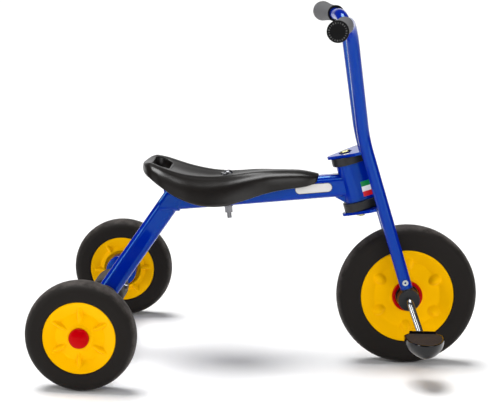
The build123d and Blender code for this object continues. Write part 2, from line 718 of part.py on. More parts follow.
REAR_BUSH_R = 11
RECESS_R = 33.5              # the rear wheel's inner recess, which runs round the axle flange
RECESS_FLOOR = 9
HUB_CAP_R = 17.3
HUB_CAP_LOW = 19.3
REAR_FIN_TURN = {"right": 30, "left": 5}
for side, sign in SIDES.items():
    centre = (REAR_X, sign * TRACK / 2, REAR_TYRE_R)
    outward = wheel_place(centre, sign, REAR_FIN_TURN[side])
    inward = wheel_place(centre, -sign, REAR_FIN_TURN[side])
    save(tyre(REAR_TYRE_R, REAR_SEAT_R, 20.6), f"rear_tyre_{side}", outward)
    half = disc_half(rear_face, 4, REAR_SEAT_R, REAR_BUSH_R + FIT_GAP, rear_boss)
    save(half, f"rear_disc_outer_{side}", outward)
    inner = disc_half(rear_inner_face, 4, REAR_SEAT_R, REAR_BUSH_R + FIT_GAP, rear_boss)
    with BuildPart() as recessed:
        add(inner)
        with BuildSketch(Plane.XY.offset(RECESS_FLOOR)):
            Circle(RECESS_R)
        extrude(amount=BIG, mode=Mode.SUBTRACT)
    save(recessed.part, f"rear_disc_inner_{side}", inward)

    with BuildPart() as bush:
        with BuildSketch(Plane.XY.offset(-REAR_HUB_IN)):
            Circle(REAR_BUSH_R)
            Circle(AXLE_R + RUN_GAP, mode=Mode.SUBTRACT)
        extrude(amount=REAR_HUB_IN + REAR_HUB_HALF)
    save(bush.part, f"rear_bush_{side}", outward)

    with BuildPart() as cap:
        with BuildSketch(Plane.XZ):
            with BuildLine():
                Polyline((15.6, HUB_CAP_LOW), (HUB_CAP_R, HUB_CAP_LOW), (HUB_CAP_R, 22.5))
                Spline((HUB_CAP_R, 22.5), (12.5, 27.6), (0, 30), tangents=[(0, 1), (-1, 0)])
                Polyline((0, 30), (0, 28.4), (11.6, 26.4), (15.6, HUB_CAP_LOW))
            make_face()
        revolve(axis=Axis.Z)
    save(cap.part, f"hub_cap_{side}", outward)

# Front wheel, in the fork's frame: its axle is the crankshaft.
front_axle = Vector(FORK_OFFSET, 0, 0)
FRONT_FIN_TURN = 30 - RAKE


def front_place(side):
    """The front wheel's frame on that side, in the row's frame."""
    return FORK.location * wheel_place(front_axle, side, FRONT_FIN_TURN)


CORE_R = 20
CORE_HALF = 16
FRONT_HUB_FACE = 18
PIN_R = 2
front_face = [(28, FRONT_HUB_FACE), (40, 15), (54, 12.5), (68, 17), (81, 22.3)]
front_boss = (44, 66, 7, 17, 10)
save(tyre(FRONT_TYRE_R, FRONT_SEAT_R, 21.8), "front_tyre", front_place(-1))
half = disc_half(front_face, 4, FRONT_SEAT_R, CORE_R + FIT_GAP, front_boss)
for side, sign in SIDES.items():
    save(half, f"front_disc_{side}", front_place(sign))
    with BuildPart() as ring:
        with BuildSketch(Plane.XY.offset(FRONT_HUB_FACE)):
            Circle(27)
            Circle(21, mode=Mode.SUBTRACT)
        extrude(amount=6)
        fillet(ring.edges().group_by(Axis.Z)[-1], 1.5)
    save(ring.part, f"hub_ring_{side}", front_place(sign))

with BuildPart() as hub_core:
    Cylinder(CORE_R, 2 * CORE_HALF)
    Hole(CRANK_R + FIT_GAP)
    with BuildSketch(Plane.XZ):
        Circle(PIN_R)
    extrude(amount=CORE_R, both=True, mode=Mode.SUBTRACT)
save(hub_core.part, "front_hub_core", front_place(-1))

# Crankshaft: one bar, bent into a crank and a pedal pin at each end.
CRANK_ELBOW = 67             # out from the middle, where each arm starts
PIN_ELBOW = 98               # where each arm ends and its pedal pin starts
PIN_END = 179
CRANK_BEND_R = 13
crank_way = Vector(sin(radians(CRANK_TURN)), 0, -cos(radians(CRANK_TURN)))
crank_plane = Plane(origin=front_axle, x_dir=crank_way, z_dir=(0, -1, 0))
with BuildPart() as crank:
    with BuildLine(Plane.XZ) as crank_route:
        FilletPolyline(
            (-CRANK_ARM, -PIN_END),
            (-CRANK_ARM, -PIN_ELBOW),
            (0, -CRANK_ELBOW),
            (0, CRANK_ELBOW),
            (CRANK_ARM, PIN_ELBOW),
            (CRANK_ARM, PIN_END),
            radius=CRANK_BEND_R,
        )
    with BuildSketch(Plane(origin=crank_route.line @ 0, z_dir=crank_route.line % 0)):
        Circle(CRANK_R)
    sweep()
    fillet(crank.edges().filter_by(GeomType.CIRCLE).group_by(Axis.Z)[0], 1)
    fillet(crank.edges().filter_by(GeomType.CIRCLE).group_by(Axis.Z)[-1], 1)
with BuildPart() as drive_pin:
    with BuildSketch(Plane.XZ):
        Circle(PIN_R - 0.02)
    extrude(amount=CORE_R - 0.5, both=True)
save(drive_pin.part, "drive_pin", front_place(-1))
crank_placed = crank.part.moved(FORK.location * crank_plane.location)
pin_placed = drive_pin.part.moved(front_place(-1))
save(crank_placed - pin_placed, "crankshaft")

# Pedals: X out along the pin, Y fore and aft, Z up.
PEDAL_IN = 107               # the pedal's inner end, out from the middle
PEDAL_LONG = 84
PEDAL_HALF = 33.5
PEDAL_INNER_HALF = 25
PEDAL_TOP = 9
PEDAL_DEEP = 29
RIM = 2.6
TREAD_THICK = 1.6
LIP_HIGH = 4
POCKET = (62, 76)
POCKET_HALF = 11
RETAINER_R = 7
opposite = {"right": 1, "left": -1}
pedal_up = (rake_sin, 0, rake_cos)
for side, sign in SIDES.items():
    at = front_axle + crank_way * (CRANK_ARM * opposite[side]) + Vector(0, sign * PEDAL_IN, 0)
    pedal_place = FORK.location * Plane(origin=at, x_dir=(0, sign, 0), z_dir=pedal_up).location

    with BuildSketch() as outline:
        with BuildLine():
            Polyline(
                (48, -PEDAL_HALF),
                (14, -PEDAL_HALF),
                (0, -PEDAL_INNER_HALF),
                (0, PEDAL_INNER_HALF),
                (14, PEDAL_HALF),
                (48, PEDAL_HALF),
            )
            ThreePointArc((48, PEDAL_HALF), (PEDAL_LONG, 0), (48, -PEDAL_HALF))
        make_face()
        fillet(outline.vertices().group_by(Axis.X)[:2][0], 3)

    with BuildPart() as body:
        add(outline.sketch)
        extrude(amount=PEDAL_TOP)
        add(outline.sketch)
        extrude(amount=-PEDAL_DEEP)
        with BuildSketch(Plane.YZ):
            with Locations((0, PEDAL_TOP - 4)):
                Ellipse(PEDAL_HALF, PEDAL_DEEP - 4)
            with Locations((0, PEDAL_TOP - 2)):
                Rectangle(2 * PEDAL_HALF, 4.2)
        extrude(amount=PEDAL_LONG, mode=Mode.INTERSECT)
        with BuildSketch(Plane.XY.offset(PEDAL_TOP)) as inside:
            add(outline.sketch.moved(Location((0, 0, PEDAL_TOP))))
            offset(amount=-RIM, mode=Mode.REPLACE)
        extrude(amount=-TREAD_THICK, mode=Mode.SUBTRACT)
        with BuildSketch(Plane.XY.offset(PEDAL_TOP)):
            with Locations((RIM / 2, 0)):
                Rectangle(RIM, 2 * PEDAL_INNER_HALF - 4)
        extrude(amount=LIP_HIGH)
        with BuildSketch(Plane.YZ):
            Circle(CRANK_R + RUN_GAP)
        extrude(amount=POCKET[0] + 1, mode=Mode.SUBTRACT)
        with BuildSketch(Plane.XY.offset(PEDAL_TOP)):
            with Locations(((POCKET[0] + POCKET[1]) / 2, 0)):
                Rectangle(POCKET[1] - POCKET[0], 2 * POCKET_HALF)
        extrude(amount=-PEDAL_TOP - POCKET_HALF, mode=Mode.SUBTRACT)
    save(body.part, f"pedal_body_{side}", pedal_place)

    with BuildPart() as tread:
        with BuildSketch(Plane.XY.offset(PEDAL_TOP - TREAD_THICK)):
            add(outline.sketch)
            offset(amount=-RIM - FIT_GAP, mode=Mode.REPLACE)
        extrude(amount=TREAD_THICK)
    save(tread.part, f"pedal_tread_{side}", pedal_place)

    with BuildPart() as retainer:
        with BuildSketch(Plane.YZ.offset(POCKET[0] + 2)):
            Circle(RETAINER_R)
            Circle(CRANK_R + 0.02, mode=Mode.SUBTRACT)
        extrude(amount=2)
    save(retainer.part, f"pedal_retainer_{side}", pedal_place)
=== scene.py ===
import json
import math
import bmesh
import bpy
import numpy as np
from mathutils import Matrix, Vector


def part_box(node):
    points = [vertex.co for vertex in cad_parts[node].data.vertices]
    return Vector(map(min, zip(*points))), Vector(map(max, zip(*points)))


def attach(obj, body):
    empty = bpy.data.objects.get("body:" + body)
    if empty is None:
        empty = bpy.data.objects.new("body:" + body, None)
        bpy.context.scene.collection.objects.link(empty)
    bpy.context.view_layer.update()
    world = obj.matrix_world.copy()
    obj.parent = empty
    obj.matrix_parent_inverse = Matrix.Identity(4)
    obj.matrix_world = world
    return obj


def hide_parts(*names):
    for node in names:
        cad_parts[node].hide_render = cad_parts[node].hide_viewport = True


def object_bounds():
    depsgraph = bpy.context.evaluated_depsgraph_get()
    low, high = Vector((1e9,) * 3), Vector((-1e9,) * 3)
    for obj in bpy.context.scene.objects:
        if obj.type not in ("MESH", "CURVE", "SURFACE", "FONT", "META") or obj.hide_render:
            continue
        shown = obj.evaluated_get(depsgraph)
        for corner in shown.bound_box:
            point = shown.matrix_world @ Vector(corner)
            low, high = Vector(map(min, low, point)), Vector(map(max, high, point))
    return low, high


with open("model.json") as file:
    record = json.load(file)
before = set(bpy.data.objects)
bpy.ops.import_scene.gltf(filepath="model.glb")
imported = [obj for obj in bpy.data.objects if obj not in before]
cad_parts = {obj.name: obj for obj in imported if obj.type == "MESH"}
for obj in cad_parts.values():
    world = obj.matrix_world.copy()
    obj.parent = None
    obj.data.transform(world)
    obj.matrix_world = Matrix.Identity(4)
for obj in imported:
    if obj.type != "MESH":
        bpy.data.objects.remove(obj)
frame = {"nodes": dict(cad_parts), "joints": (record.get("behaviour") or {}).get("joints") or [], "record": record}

# %% [markdown]
# # A children's tricycle
# The measured model comes in as the frame: every tube, bolt and wheel is already in its
# place, in metres, with +X forward and +Z up. This lesson gives each piece the finish of the
# real one, and makes again, as finer meshes, the moulded pieces whose shape is mostly looks.
# First the size is noted.

# %% Size of the frame before anything is added
size_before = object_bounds()
middle = (Vector(size_before[0]) + Vector(size_before[1])) / 2
nodes = frame["nodes"]
MM = 0.001
print("frame box", [[round(v, 4) for v in corner] for corner in size_before])

# %% [markdown]
# ## Helpers for colour and for shader nodes
# Colours are picked as sRGB hex values, as on a paint chart, but light adds up in linear
# values, so one function turns one into the other. Another adds a shader node with its
# settings and its links in one line, which keeps each material short to read.

# %% Colour and node helpers
def linear(hex_colour):
    """The linear RGBA of an sRGB hex colour."""
    parts = [int(hex_colour[i:i + 2], 16) / 255 for i in (1, 3, 5)]
    return [c / 12.92 if c <= 0.04045 else ((c + 0.055) / 1.055) ** 2.4 for c in parts] + [1]


def add_node(tree, kind, settings=(), links=()):
    """A node with its settings, {name or input: value}, and its links, {input: socket}."""
    node = tree.nodes.new(kind)
    for name, value in dict(settings).items():
        if isinstance(name, str) and hasattr(node, name):
            setattr(node, name, value)
        else:
            node.inputs[name].default_value = value
    for name, socket in dict(links).items():
        tree.links.new(socket, node.inputs[name])
    return node


def new_material(name, colour, roughness, **sockets):
    """A material whose one shader starts from a colour and a roughness."""
    material = bpy.data.materials.new(name)
    material.use_nodes = True
    shader = material.node_tree.nodes["Principled BSDF"]
    shader.inputs["Base Color"].default_value = linear(colour)
    shader.inputs["Roughness"].default_value = roughness
    for key, value in sockets.items():
        shader.inputs[key.replace("_", " ")].default_value = value
    return material, material.node_tree, shader


def grain(tree, size_mm, detail=2.0):
    """A noise pattern whose blotches are that many millimetres across."""
    place = add_node(tree, "ShaderNodeTexCoord").outputs["Object"]
    noise = add_node(tree, "ShaderNodeTexNoise", {"Scale": 1 / (size_mm * MM), "Detail": detail},
                     {"Vector": place})
    return noise.outputs["Fac"]


def bumped(tree, shader, height, depth_mm):
    """The shader's surface rises and falls with height, by depth_mm."""
    bump = add_node(tree, "ShaderNodeBump", {"Distance": depth_mm * MM}, {"Height": height})
    tree.links.new(bump.outputs["Normal"], shader.inputs["Normal"])


def stepped(tree, factor, low, high, colour_low, colour_high):
    """A colour that turns from one to the other as factor goes from low to high."""
    ramp = add_node(tree, "ShaderNodeValToRGB", links={"Fac": factor})
    ends = ((low, colour_low), (high, colour_high))
    for element, (position, colour) in zip(ramp.color_ramp.elements, ends):
        element.position = position
        element.color = linear(colour)
    return ramp.outputs["Color"]


print("mid grey is", [round(c, 3) for c in linear("#808080")])

# %% [markdown]
# ## Finish: blue powder coat
# The frame tubes are steel, dusted with dry polyester powder and baked. The powder melts into
# a thick glossy skin with a faint orange peel, a wave some 4 mm across. The skin's own
# reflection is tinted blue, as deep colour shows through it, and a thin clear coat adds the
# white of the sharpest lights. A very shallow noise bump gives the peel.

# %% Blue powder coat
enamel, tree, shader = new_material(
    "blue powder coat on steel", "#001F92", 0.12, IOR=1.5, Specular_Tint=linear("#30C0E8"),
    Coat_Weight=0.2, Coat_Roughness=0.04, Coat_IOR=1.5,
)
bumped(tree, shader, grain(tree, 4, 1.0), 0.02)
print(enamel.name)

# %% [markdown]
# ## Finish: moulded wheel discs and red caps
# The discs are injection-moulded nylon or polypropylene in a strong yellow. The mould is
# blasted, so the skin is satin rather than wet. The red caps come from a polished mould, so
# they are much glossier. Both are plain through-dyed plastics: one colour, no pattern. Their
# reflections are tinted towards their own colour, which keeps them strong under white light.

# %% Yellow and red mouldings
yellow, tree, shader = new_material("yellow moulded polypropylene", "#F8B800", 0.4, IOR=1.4,
                                    Specular_Tint=linear("#FFD020"))
bumped(tree, shader, grain(tree, 1.5), 0.02)
red, tree, shader = new_material("red moulded ABS", "#B4000A", 0.12, IOR=1.4, Specular_Tint=linear("#FF6048"))
bumped(tree, shader, grain(tree, 9, 1.0), 0.01)
print(yellow.name, "and", red.name)

# %% [markdown]
# ## Finish: solid rubber tyres
# The tyres are solid rubber. The tread is painted a patchy paler grey, partly dust and partly
# painted light, while the sides stay dark brown-black. Each tyre is made in its own wheel's
# frame, with Z along the axle, so the distance from the middle plane tells tread from side:
# the paler grey fades out between 12 and 24 mm.

# %% Tyre rubber
tyre_rubber, tree, shader = new_material("solid tyre rubber with dust and painted light on the tread", "#1D1A18", 0.62, IOR=1.2)
place = add_node(tree, "ShaderNodeTexCoord").outputs["Object"]
axial = add_node(tree, "ShaderNodeSeparateXYZ", links={0: place}).outputs["Z"]
off_middle = add_node(tree, "ShaderNodeMath", {"operation": "ABSOLUTE"}, {0: axial}).outputs[0]
DARK_SIDE_FROM, PALE_TREAD_WITHIN = 24, 12
tread = add_node(tree, "ShaderNodeMapRange", {"From Min": DARK_SIDE_FROM * MM, "From Max": PALE_TREAD_WITHIN * MM},
                 {"Value": off_middle})
fine = grain(tree, 1.2, 3.0)
broad = grain(tree, 14, 2.0)
patchy = add_node(tree, "ShaderNodeMath", {"operation": "MULTIPLY"}, {0: fine, 1: broad}).outputs[0]
strong = add_node(tree, "ShaderNodeMath", {"operation": "MULTIPLY", 1: 2.6}, {0: patchy}).outputs[0]
# The tread's paler grey is partly dust and partly painted light.
dust_and_painted_light = add_node(tree, "ShaderNodeMath", {"operation": "MULTIPLY", "use_clamp": True},
                {0: strong, 1: tread.outputs[0]}).outputs[0]
tree.links.new(stepped(tree, dust_and_painted_light, 0.15, 1.0, "#1D1A18", "#524D4A"), shader.inputs["Base Color"])
bumped(tree, shader, fine, 0.12)
print(tyre_rubber.name)

# %% [markdown]
# ## Finish: black mouldings and rubbers
# The saddle is a thick black polyethylene moulding with a fine leather-like mould grain, so
# its lights are broad and soft. The pedals and bearing blocks are glossier nylon. The pedal
# tread, the axle sleeves and the grips are rubber, dull because soft rubber is never polished.

# %% Black mouldings and rubbers
seat, tree, shader = new_material("black moulded polyethylene", "#14110F", 0.3, IOR=1.38)
bumped(tree, shader, grain(tree, 0.9), 0.06)
gloss_black, tree, shader = new_material("glossy black nylon", "#09090A", 0.15, IOR=1.4)
bumped(tree, shader, grain(tree, 8, 1.0), 0.02)
satin_black, tree, shader = new_material("satin black nylon", "#151517", 0.4, IOR=1.4)
bumped(tree, shader, grain(tree, 1.0), 0.03)
tread_rubber, tree, shader = new_material("brown-black tread rubber", "#2A1F1A", 0.85, IOR=1.35)
worn = stepped(tree, grain(tree, 2.5, 4.0), 0.35, 0.7, "#1C1512", "#35281F")
tree.links.new(worn, shader.inputs["Base Color"])
bumped(tree, shader, grain(tree, 1.5, 3.0), 0.3)
sleeve_rubber, tree, shader = new_material("grey-brown sleeve rubber", "#3A3531", 0.6, IOR=1.4)
bumped(tree, shader, grain(tree, 1.5), 0.05)
print("black mouldings made")

# %% [markdown]
# ## Finish: grip rubber
# The grips are grey rubber with a black inner lip. The flat end is the same grey rubber,
# painted black as the shade it lies in. The grip is made with Z along its length, starting at
# the lip, so the two colours change over at a set distance.

# %% Grip rubber
GRIP_LIP, GRIP_SHADE_FROM = 3.5, 106.5
grip_rubber, tree, shader = new_material("grey grip rubber with black lip and painted shade end", "#5E5E60", 0.7, IOR=1.25)
place = add_node(tree, "ShaderNodeTexCoord").outputs["Object"]
along = add_node(tree, "ShaderNodeSeparateXYZ", links={0: place}).outputs["Z"]
# The lip is black rubber; the flat end is the same grey rubber, painted black as shade.
lip = add_node(tree, "ShaderNodeMath", {"operation": "LESS_THAN", 1: GRIP_LIP * MM}, {0: along}).outputs[0]
painted_shade_end = add_node(tree, "ShaderNodeMath", {"operation": "GREATER_THAN", 1: GRIP_SHADE_FROM * MM}, {0: along}).outputs[0]
lip_and_painted_shade = add_node(tree, "ShaderNodeMath", {"operation": "MAXIMUM"}, {0: lip, 1: painted_shade_end}).outputs[0]
tree.links.new(stepped(tree, lip_and_painted_shade, 0.0, 1.0, "#606062", "#030304"), shader.inputs["Base Color"])
bumped(tree, shader, grain(tree, 0.8), 0.05)
mark_rubber, tree, shader = new_material("worn grey rubber", "#4C4C4C", 0.7, IOR=1.4)
bumped(tree, shader, grain(tree, 0.8), 0.05)
print(grip_rubber.name)

# %% [markdown]
# ## Finish: plated steel
# The crank bar is chromed, and a little roughness stands for the fine scratches of use. The
# steering bolt is zinc-plated and yellow-passivated, so it is satin and slightly olive, and the
# nuts and saddle bolts are bright zinc. A metal's colour is its reflection, so each has Metallic
# at 1 and keeps the default IOR. The printed films are glossy and plain.

# %% Plated steel
chrome, tree, shader = new_material("chromed steel", "#A6A8AA", 0.22, Metallic=1.0)
bumped(tree, shader, grain(tree, 9, 1.0), 0.004)
zinc, tree, shader = new_material("yellow-passivated zinc on steel", "#B4AE7C", 0.3, Metallic=1.0)
bumped(tree, shader, grain(tree, 1.2), 0.02)
bright_zinc, tree, shader = new_material("bright zinc on steel", "#6F6F72", 0.28, Metallic=1.0)
bumped(tree, shader, grain(tree, 1.2), 0.02)
film, tree, shader = new_material("white badge film", "#D2D0CD", 0.25, IOR=1.45)
bumped(tree, shader, grain(tree, 6, 1.0), 0.01)
ink, tree, shader = new_material("black printed line", "#0C0C10", 0.35, IOR=1.45)
bumped(tree, shader, grain(tree, 6, 1.0), 0.01)
print("plated steel and film made")

# %% [markdown]
# ## Dressing the measured pieces
# Each measured piece names a slot in the record, and each slot gets one finish. A few small
# pieces differ from the rest of their slot, so they are named one by one.

# %% Finishes by slot
BY_SLOT = {
    "blue_paint": enamel, "yellow_plastic": yellow, "red_plastic": red, "black_plastic": satin_black,
    "saddle_plastic": seat, "grip_rubber": grip_rubber, "tread_rubber": tread_rubber,
    "sleeve_rubber": sleeve_rubber, "tyre_rubber": tyre_rubber, "zinc_steel": zinc, "chrome": chrome,
    "black_steel": bright_zinc, "badge_film": film,
}
BY_NAME = {
    "pedal_body_right": gloss_black, "pedal_body_left": gloss_black, "saddle_nuts": bright_zinc,
    "axle_nuts": bright_zinc, "axle_washers": bright_zinc, "sleeve_screw": bright_zinc,
}
for part in frame["record"]["subparts"]:
    name = part["node"]
    nodes[name].data.materials.clear()
    nodes[name].data.materials.append(BY_NAME.get(name, BY_SLOT[part["material_slot"]]))
print(len(nodes), "measured pieces dressed")

# %% [markdown]
# ## Making meshes from points
# Turned pieces, such as tyres and grips, are an outline spun round an axis: points go in as
# radius and height in millimetres, and rings of faces come out. Other pieces are rings stacked
# one on another and closed at both ends. Every mesh of the object is a closed skin. Edges
# sharper than the piece's sharp angle stay crisp, and the rest are shaded smooth.

# %% A closed mesh
def new_piece(name, points_mm, faces, *materials, place=Matrix(), sharp=40):
    """A closed mesh from points in millimetres, put in its place."""
    mesh = bpy.data.meshes.new(name)
    mesh.from_pydata([tuple(c * MM for c in p) for p in points_mm], [], faces)
    for material in materials:
        mesh.materials.append(material)
    tidy = bmesh.new()
    tidy.from_mesh(mesh)
    bmesh.ops.recalc_face_normals(tidy, faces=tidy.faces)
    tidy.to_mesh(mesh)
    tidy.free()
    mesh.shade_smooth()
    mesh.set_sharp_from_angle(angle=math.radians(sharp))
    piece = bpy.data.objects.new(name, mesh)
    piece.matrix_world = place
    bpy.context.scene.collection.objects.link(piece)
    return piece


print("closed meshes can be made")

# %% Smooth lines, grids and stacks
def rounded(points, parts=5):
    """A smooth run of points through the given ones."""
    out = []
    for i in range(len(points) - 1):
        p0, p1, p2, p3 = (np.array(points[max(0, min(len(points) - 1, i + k))], float) for k in (-1, 0, 1, 2))
        for t in np.arange(parts) / parts:
            out.append(tuple(0.5 * (2 * p1 + (p2 - p0) * t + (2 * p0 - 5 * p1 + 4 * p2 - p3) * t ** 2
                                    + (3 * p1 - p0 - 3 * p2 + p3) * t ** 3)))
    return out + [tuple(points[-1])]


def grid_faces(rows, columns, closed_rows=False, closed_columns=True):
    """Four-sided faces between neighbours in a grid of points, row by row."""
    faces = []
    for i in range(rows if closed_rows else rows - 1):
        for j in range(columns if closed_columns else columns - 1):
            k, m = (i + 1) % rows, (j + 1) % columns
            faces.append((i * columns + j, i * columns + m, k * columns + m, k * columns + j))
    return faces


def stack(rings, start=0):
    """Points and faces of equal rings piled up and closed at both ends, counted from start."""
    points = [p for ring in rings for p in ring]
    count = len(rings[0])
    ends = [tuple(range(count)), tuple(range(len(points) - count, len(points)))]
    return points, [tuple(start + i for i in face) for face in grid_faces(len(rings), count) + ends]


print("a grid of 2 rows of 4 has", len(grid_faces(2, 4)), "faces")

# %% Turned pieces and their places
def spun(name, outline, material, place, steps=144):
    """A closed outline of (radius, height), spun round Z."""
    angles = np.arange(steps) * 2 * math.pi / steps
    points = [(r * math.cos(a), r * math.sin(a), z) for r, z in outline for a in angles]
    return new_piece(name, points, grid_faces(len(outline), steps, closed_rows=True), material, place=place)


def axle_place(centre, out, turn):
    """A wheel's own frame: Z along its axle, outwards, and X turned up from forward."""
    out = Vector(out).normalized()
    forward = Vector((math.cos(math.radians(turn)), 0, math.sin(math.radians(turn))))
    forward = (forward - out * forward.dot(out)).normalized()
    return Matrix.Translation(centre) @ Matrix((forward, out.cross(forward), out)).transposed().to_4x4()


print("turned pieces can be made")

# %% Holes
def cut_away(piece, outline, z_low, z_high, place=Matrix(), sharp=60):
    """Cut a hole of that outline through a piece, along Z of the place, from z_low to z_high."""
    cutter_rings = [[(x, y, z) for x, y in outline] for z in (z_low, z_high)]
    cutter = new_piece("cutter", *stack(cutter_rings), place=place)
    hole = piece.modifiers.new("hole", "BOOLEAN")
    hole.object, hole.operation, hole.solver = cutter, "DIFFERENCE", "EXACT"
    bpy.context.view_layer.objects.active = piece
    bpy.ops.object.modifier_apply(modifier=hole.name)
    bpy.data.objects.remove(cutter)
    piece.data.shade_smooth()
    piece.data.set_sharp_from_angle(angle=math.radians(sharp))


print("holes can be cut")

# %% [markdown]
# ## Piece: tyres
# A real solid tyre is moulded as a ring and stretched on to the disc. Its section has a flat
# side, a round shoulder and a slightly crowned tread. It is spun from that section, in the
# wheel's own frame, and the inner edge is let into the disc's rim as on the measured one.

# %% Tyres
def tyre_outline(outer, seat_r, face):
    """The tyre's section: outer radius, radius where it sits on the disc, and half width there."""
    half = rounded([
        (seat_r + 0.1, face), (seat_r + 1.5, face + 2.6), (seat_r + 5, 24.5), (outer - 17, 24.9),
        (outer - 12, 24.2), (outer - 7, 21), (outer - 3, 15.4), (outer - 0.9, 8.5), (outer, 0),
    ])
    inside = [(seat_r - 1.9, -12), (seat_r - 1.9, 12), (seat_r + 0.1, 14)]
    return half + [(r, -z) for r, z in reversed(half[:-1])] + [(seat_r + 0.1, -14)] + inside


joints = {joint["name"]: joint for joint in frame["joints"]}
wheels = {}
for side, sign, turn in (("right", -1, 30), ("left", 1, 5)):
    low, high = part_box(f"rear_tyre_{side}")
    centre = (Vector(low) + Vector(high)) / 2
    wheels[f"rear_{side}"] = (centre, Vector((0, sign, 0)), turn, f"rear_wheel_{side}")
spin = joints["front_wheel_spin"]
front_centre = Vector(spin["pos_m"])
front_axle = Vector(spin["axis"]).normalized()
wheels["front"] = (front_centre, -front_axle, 30, "front_wheel")
for name, (centre, out, turn, body) in wheels.items():
    outer, seat_r, face = (125, 82.4, 21.9) if name == "front" else (94.5, 61.7, 20.6)
    tyre = spun(f"{name}_rubber", tyre_outline(outer, seat_r, face), tyre_rubber, axle_place(centre, out, 0))
    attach(tyre, body)
    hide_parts("front_tyre" if name == "front" else f"rear_tyre_{name[5:]}")
print(len(wheels), "tyres")

# %% [markdown]
# ## Piece: wheel discs
# Each disc is two moulded dishes, back to back. From the hub the dish falls to a valley and
# climbs again to the rim, and six fins bridge the valley: long and thin on the rear wheels,
# short and round on the front one. The face is a sheet of points round the axle whose height is
# worked out from the radius and the angle, which gives true fins with soft feet instead of
# blocks stuck on. A fin is given by its middle radius, half length, half width, top and drop.

# %% Height of a dish
FINS = 6
SOFTEN = (-0.7, -0.35, 0, 0.35, 0.7)


def dish_height(r, a, profile, fin):
    """Height of the dish at radius r and angle a: a sloped profile, with fins across it."""
    radii, heights = zip(*profile)
    base = sum(float(np.interp(r + s, radii, heights)) for s in SOFTEN) / len(SOFTEN)
    middle_r, half_long, half_wide, top, drop = fin
    apart = 2 * math.pi / FINS
    nearest = (a + apart / 2) % apart - apart / 2
    along, across = r * math.cos(nearest) - middle_r, r * math.sin(nearest)
    crown = top - drop * ((along / half_long) ** 2 + (across / half_wide) ** 2)
    blend = max(0.0, 1 - abs(base - crown) / 1.2)
    return max(base, crown) + 0.3 * blend ** 2


print("fins every", 360 // FINS, "degrees")

# %% One half of a disc
DISH_STEPS, RING_APART = 240, 0.9


def wheel_dish(name, profile, fin, rim_r, place, turn, recess=None):
    """One half of a disc, closed at the back, with its outer face shaped by dish_height."""
    inner_r, (outer_r, rim_z) = profile[0][0], profile[-1]
    angles = np.arange(DISH_STEPS) * 2 * math.pi / DISH_STEPS
    radii = list(np.arange(inner_r, outer_r, RING_APART)) + [outer_r]
    points = [(r * math.cos(a), r * math.sin(a), dish_height(r, a - turn, profile, fin))
              for r in radii for a in angles]
    back = [(rim_r, rim_z - 1.0), (rim_r, 14), (rim_r - 2.2, 11.8), (rim_r - 2.2, 0.3)]
    back += [(recess[0], 0.3), (recess[0], recess[1]), (inner_r, recess[1])] if recess else [(inner_r, 0.3)]
    points += [(r * math.cos(a), r * math.sin(a), z) for r, z in back for a in angles]
    faces = grid_faces(len(radii) + len(back), DISH_STEPS, closed_rows=True)
    return new_piece(name, points, faces, yellow, place=place, sharp=50)


print("dish mesh of", DISH_STEPS, "points round, rings", RING_APART, "mm apart")

# %% Wheel discs
REAR_RIM_R, FRONT_RIM_R, REAR_RECESS = 61.6, 82.3, (11.2, 9)
REAR_OUTER = [(11.2, 19.2), (20.6, 19.2), (21.9, 17.4), (41, 12.4), (42.2, 12.8), (60.4, 20.9), (61.5, 20.4)]
REAR_INNER = [(34, 15.5), (35.2, 17.6), (37, 17.6), (43.5, 13.2), (44.6, 13.6), (60.4, 20.9), (61.5, 20.4)]
FRONT_FACE = [(20.3, 17.9), (29.5, 17.9), (31, 16.9), (58, 13.2), (60, 13.6), (80.8, 22.2), (82.2, 21.6)]
REAR_FIN = (40, 24, 5.4, 20.2, 9)
INNER_FIN = (45.5, 20, 5.4, 20.4, 9)
FRONT_FIN = (57.5, 16, 11.5, 21.4, 10)
for name, (centre, out, turn, body) in wheels.items():
    for face, way in (("outer", out), ("inner", -out)):
        place = axle_place(centre, way, 0)
        fins_at = math.radians(-math.copysign(turn, way.y))
        if name == "front":
            node = "front_disc_right" if face == "outer" else "front_disc_left"
            disc = wheel_dish(f"front_dish_{face}", FRONT_FACE, FRONT_FIN, FRONT_RIM_R, place, fins_at)
        elif face == "outer":
            node = f"rear_disc_outer_{name[5:]}"
            disc = wheel_dish(f"{name}_dish_outer", REAR_OUTER, REAR_FIN, REAR_RIM_R, place, fins_at)
        else:
            node = f"rear_disc_inner_{name[5:]}"
            disc = wheel_dish(f"{name}_dish_inner", REAR_INNER, INNER_FIN, REAR_RIM_R, place, fins_at,
                              REAR_RECESS)
        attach(disc, body)
        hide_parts(node)
print("six dishes of", len(disc.data.polygons), "faces or so")

# %% [markdown]
# ## Piece: grips
# A grip is a rubber sleeve pushed on to the tube, narrow in the middle and flared to a flat
# end. It is spun like the tyres. Its axis is found from the measured grip itself: the points
# of a turned piece spread furthest along its axis. The end carries a ring of small raised
# bars, a plain grip pattern.

# %% Grips
def long_axis(name):
    """Start, direction and length of a long turned piece, from Y = 0 outwards, in metres."""
    points = np.array([v.co[:] for v in nodes[name].data.vertices])
    centre = (points.max(axis=0) + points.min(axis=0)) / 2
    for _ in range(3):
        way = np.linalg.svd(points - points.mean(axis=0), full_matrices=False)[2][0]
        way = way * np.sign(way[1] * centre[1])
        run = (points - centre) @ way
        start = centre + way * run.min()
    spread = points - start - np.outer((points - start) @ way, way)
    return Vector(start + spread.mean(axis=0)), Vector(way), run.max() - run.min()


